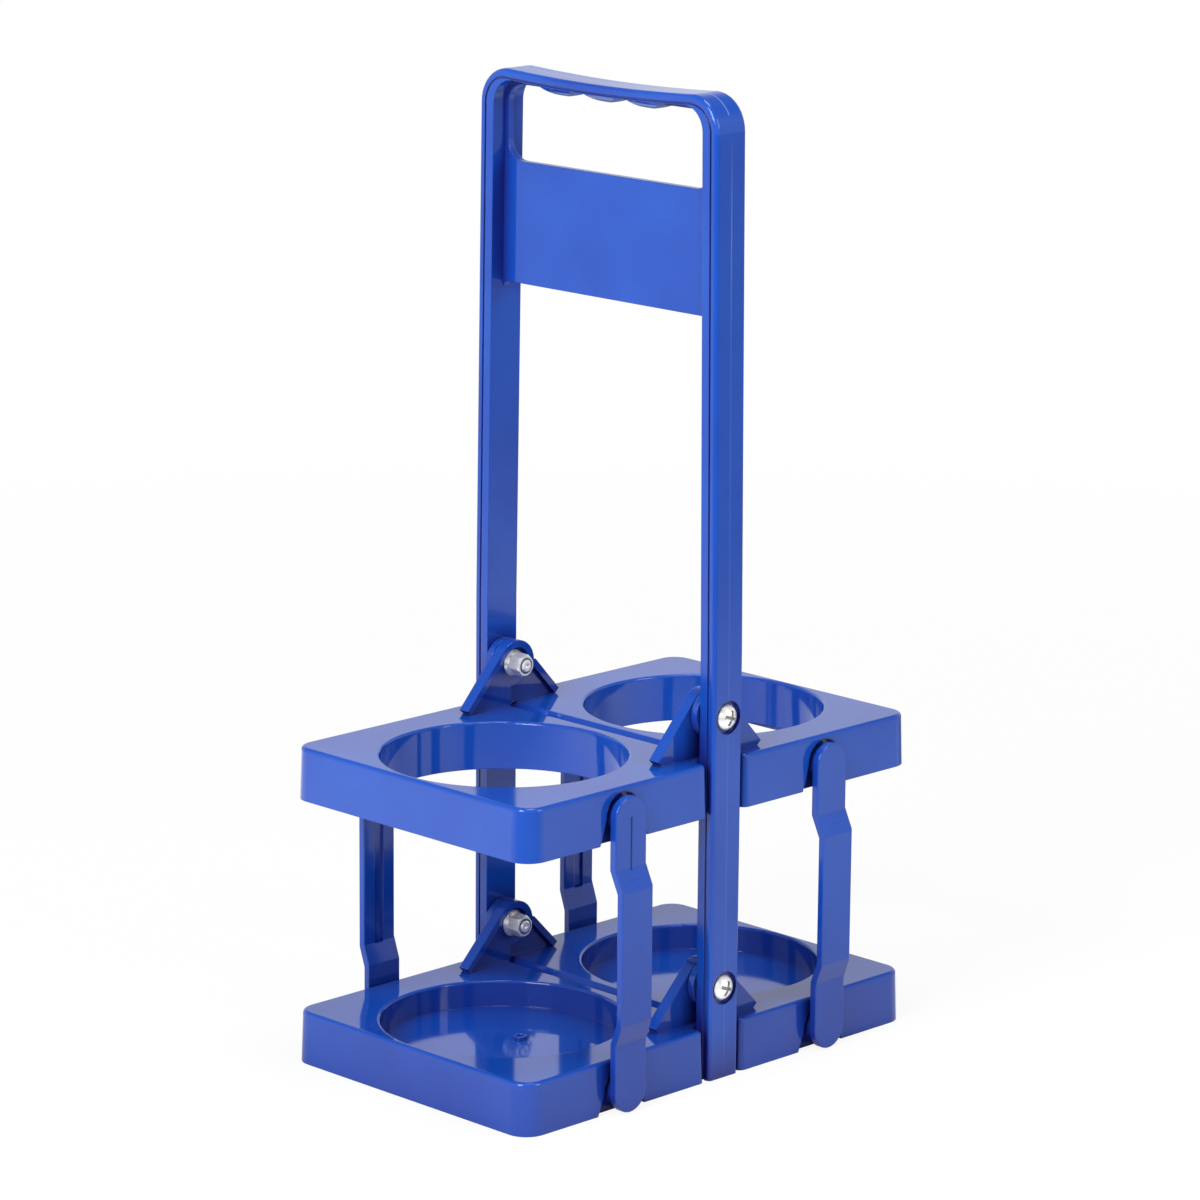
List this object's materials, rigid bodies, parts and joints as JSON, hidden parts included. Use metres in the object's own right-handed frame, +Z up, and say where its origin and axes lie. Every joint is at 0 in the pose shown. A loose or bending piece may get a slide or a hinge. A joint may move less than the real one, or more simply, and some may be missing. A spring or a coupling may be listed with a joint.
{
  "type": "water bottle carrier",
  "caption": "Folding carrier for large drinks bottles: a strap handle between hinged trays, round holes above recessed seats, joined by side struts.",
  "frame": {"origin": "on the floor below the middle of the handle", "axes": "+Z up along the handle, +X along the trays, +Y across the handle"},
  "size_m": [0.214, 0.1474, 0.384],
  "materials": {
    "blue_plastic": "gloss",
    "zinc_plated_steel": "bright"
  },
  "bodies": {
    "handle_assembly": {"handle": "blue_plastic", "lower_rear_bolt": "zinc_plated_steel", "lower_rear_nut": "zinc_plated_steel", "lower_front_bolt": "zinc_plated_steel", "lower_front_nut": "zinc_plated_steel", "upper_rear_bolt": "zinc_plated_steel", "upper_rear_nut": "zinc_plated_steel", "upper_front_bolt": "zinc_plated_steel", "upper_front_nut": "zinc_plated_steel"},
    "upper_left_tray": {"upper_left_tray": "blue_plastic"},
    "lower_left_tray": {"lower_left_tray": "blue_plastic"},
    "rear_left_strut": {"rear_left_strut": "blue_plastic"},
    "front_left_strut": {"front_left_strut": "blue_plastic"},
    "upper_right_tray": {"upper_right_tray": "blue_plastic"},
    "lower_right_tray": {"lower_right_tray": "blue_plastic"},
    "rear_right_strut": {"rear_right_strut": "blue_plastic"},
    "front_right_strut": {"front_right_strut": "blue_plastic"}
  },
  "joints": [
    {"name": "fold_left", "type": "hinge", "parent": "handle_assembly", "child": "upper_left_tray", "pos_m": [0, 0, 0.145], "axis": [0, 1, 0], "range_deg": [0, 90]},
    {"name": "lower_left_tray_hinge", "type": "hinge", "parent": "handle_assembly", "child": "lower_left_tray", "pos_m": [0, 0, 0.0365], "axis": [0, 1, 0], "range_deg": [0, 90]},
    {"name": "rear_left_strut_pivot", "type": "hinge", "parent": "upper_left_tray", "child": "rear_left_strut", "pos_m": [-0.056, 0, 0.117], "axis": [0, 1, 0], "range_deg": [-90, 0]},
    {"name": "front_left_strut_pivot", "type": "hinge", "parent": "upper_left_tray", "child": "front_left_strut", "pos_m": [-0.056, 0, 0.117], "axis": [0, 1, 0], "range_deg": [-90, 0]},
    {"name": "fold_right", "type": "hinge", "parent": "handle_assembly", "child": "upper_right_tray", "pos_m": [0, 0, 0.145], "axis": [0, -1, 0], "range_deg": [0, 90]},
    {"name": "lower_right_tray_hinge", "type": "hinge", "parent": "handle_assembly", "child": "lower_right_tray", "pos_m": [0, 0, 0.0365], "axis": [0, -1, 0], "range_deg": [0, 90]},
    {"name": "rear_right_strut_pivot", "type": "hinge", "parent": "upper_right_tray", "child": "rear_right_strut", "pos_m": [0.056, 0, 0.117], "axis": [0, -1, 0], "range_deg": [-90, 0]},
    {"name": "front_right_strut_pivot", "type": "hinge", "parent": "upper_right_tray", "child": "front_right_strut", "pos_m": [0.056, 0, 0.117], "axis": [0, -1, 0], "range_deg": [-90, 0]}
  ],
  "couplings": [
    {"joint": "lower_left_tray_hinge", "follows": "fold_left", "ratio": 1},
    {"joint": "rear_left_strut_pivot", "follows": "fold_left", "ratio": -1},
    {"joint": "front_left_strut_pivot", "follows": "fold_left", "ratio": -1},
    {"joint": "lower_right_tray_hinge", "follows": "fold_right", "ratio": 1},
    {"joint": "rear_right_strut_pivot", "follows": "fold_right", "ratio": -1},
    {"joint": "front_right_strut_pivot", "follows": "fold_right", "ratio": -1}
  ]
}
